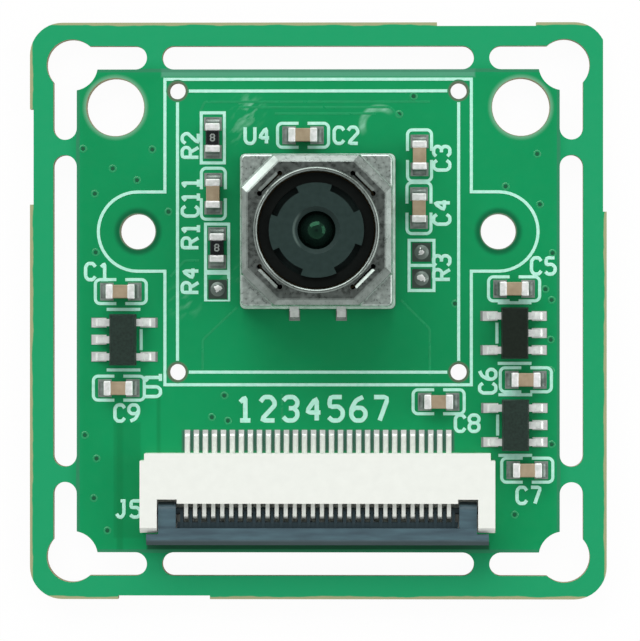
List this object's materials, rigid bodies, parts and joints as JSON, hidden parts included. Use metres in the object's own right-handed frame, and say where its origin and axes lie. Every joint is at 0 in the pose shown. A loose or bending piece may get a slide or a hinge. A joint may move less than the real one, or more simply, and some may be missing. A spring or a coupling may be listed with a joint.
{
  "type": "camera module",
  "caption": "Autofocus camera on a square circuit board with a break-off frame, chip parts and a flat-cable connector whose lock flips up.",
  "frame": {"origin": "centre of the circuit board's underside", "axes": "+Z along the lens's line of sight, square to the board; -Y towards the flat-cable connector; +X to the right seen from the lens side"},
  "size_m": [0.032, 0.032, 0.0059],
  "materials": {
    "mask_green": "glossy solder mask over glass-fibre laminate",
    "legend_ink": "screen-printed white ink",
    "tinned_copper": "tinned copper pads",
    "solder": "reflowed tin solder",
    "ceramic_tan": "fired ceramic with tinned ends",
    "resistor_glaze": "black glass glaze with tinned ends",
    "package_black": "moulded epoxy",
    "lead_tin": "tin-plated copper alloy",
    "housing_white": "moulded liquid-crystal polymer",
    "contact_tin": "tin-plated phosphor bronze",
    "lock_slate": "moulded dark polymer",
    "silicon": "polished silicon",
    "gold_wire": "drawn gold wire",
    "holder_black": "moulded black polymer",
    "filter_glass": "coated glass",
    "cover_steel": "nickel-plated pressed steel",
    "spring_bronze": "etched copper alloy",
    "magnet_nickel": "nickel-plated sintered magnet",
    "carrier_black": "moulded black polymer",
    "coil_copper": "enamelled copper winding",
    "barrel_black": "moulded dark polymer",
    "film_black": "matt black film",
    "lens_clear": "moulded optical polymer"
  },
  "bodies": {
    "board_assembly": {"circuit_board": "mask_green", "legend_print": "legend_ink", "tinned_pads": "tinned_copper", "solder_joints": "solder", "capacitor_1": "ceramic_tan", "capacitor_2": "ceramic_tan", "capacitor_3": "ceramic_tan", "capacitor_4": "ceramic_tan", "capacitor_5": "ceramic_tan", "capacitor_6": "ceramic_tan", "capacitor_7": "ceramic_tan", "capacitor_8": "ceramic_tan", "capacitor_9": "ceramic_tan", "capacitor_10": "ceramic_tan", "resistor_1": "resistor_glaze", "resistor_2": "resistor_glaze", "regulator_1_package": "package_black", "regulator_2_package": "package_black", "regulator_3_package": "package_black", "regulator_1_leads": "lead_tin", "regulator_2_leads": "lead_tin", "regulator_3_leads": "lead_tin", "connector_housing": "housing_white", "connector_contacts": "contact_tin", "connector_anchors": "lead_tin", "sensor_die": "silicon", "sensor_bond_wires": "gold_wire", "sensor_holder": "holder_black", "infrared_filter": "filter_glass", "focus_base": "holder_black", "focus_cover": "cover_steel", "focus_terminals": "lead_tin", "magnet_1": "magnet_nickel", "magnet_2": "magnet_nickel", "magnet_3": "magnet_nickel", "magnet_4": "magnet_nickel", "lower_leaf_spring": "spring_bronze", "upper_leaf_spring": "spring_bronze", "spring_spacer": "holder_black"},
    "connector_lock": {"connector_lock": "lock_slate"},
    "focus_carriage": {"lens_carrier": "carrier_black", "drive_coil": "coil_copper", "lens_barrel": "barrel_black", "lens_retainer": "film_black", "aperture_sheet": "film_black", "lens_1": "lens_clear", "lens_2": "lens_clear", "lens_3": "lens_clear", "lens_4": "lens_clear", "lens_5": "lens_clear", "lens_spacers": "film_black"}
  },
  "joints": [
    {"name": "lock_hinge", "type": "hinge", "parent": "board_assembly", "child": "connector_lock", "pos_m": [0, -0.01105, 0.00225], "axis": [-1, 0, 0], "range_deg": [0, 90]},
    {"name": "focus_travel", "type": "slide", "parent": "board_assembly", "child": "focus_carriage", "axis": [0, 0, 1], "range_m": [0, 0.0003], "stiffness_N_per_m": 12, "springref_m": -0.0001, "deforming": ["lower_leaf_spring", "upper_leaf_spring"]}
  ]
}
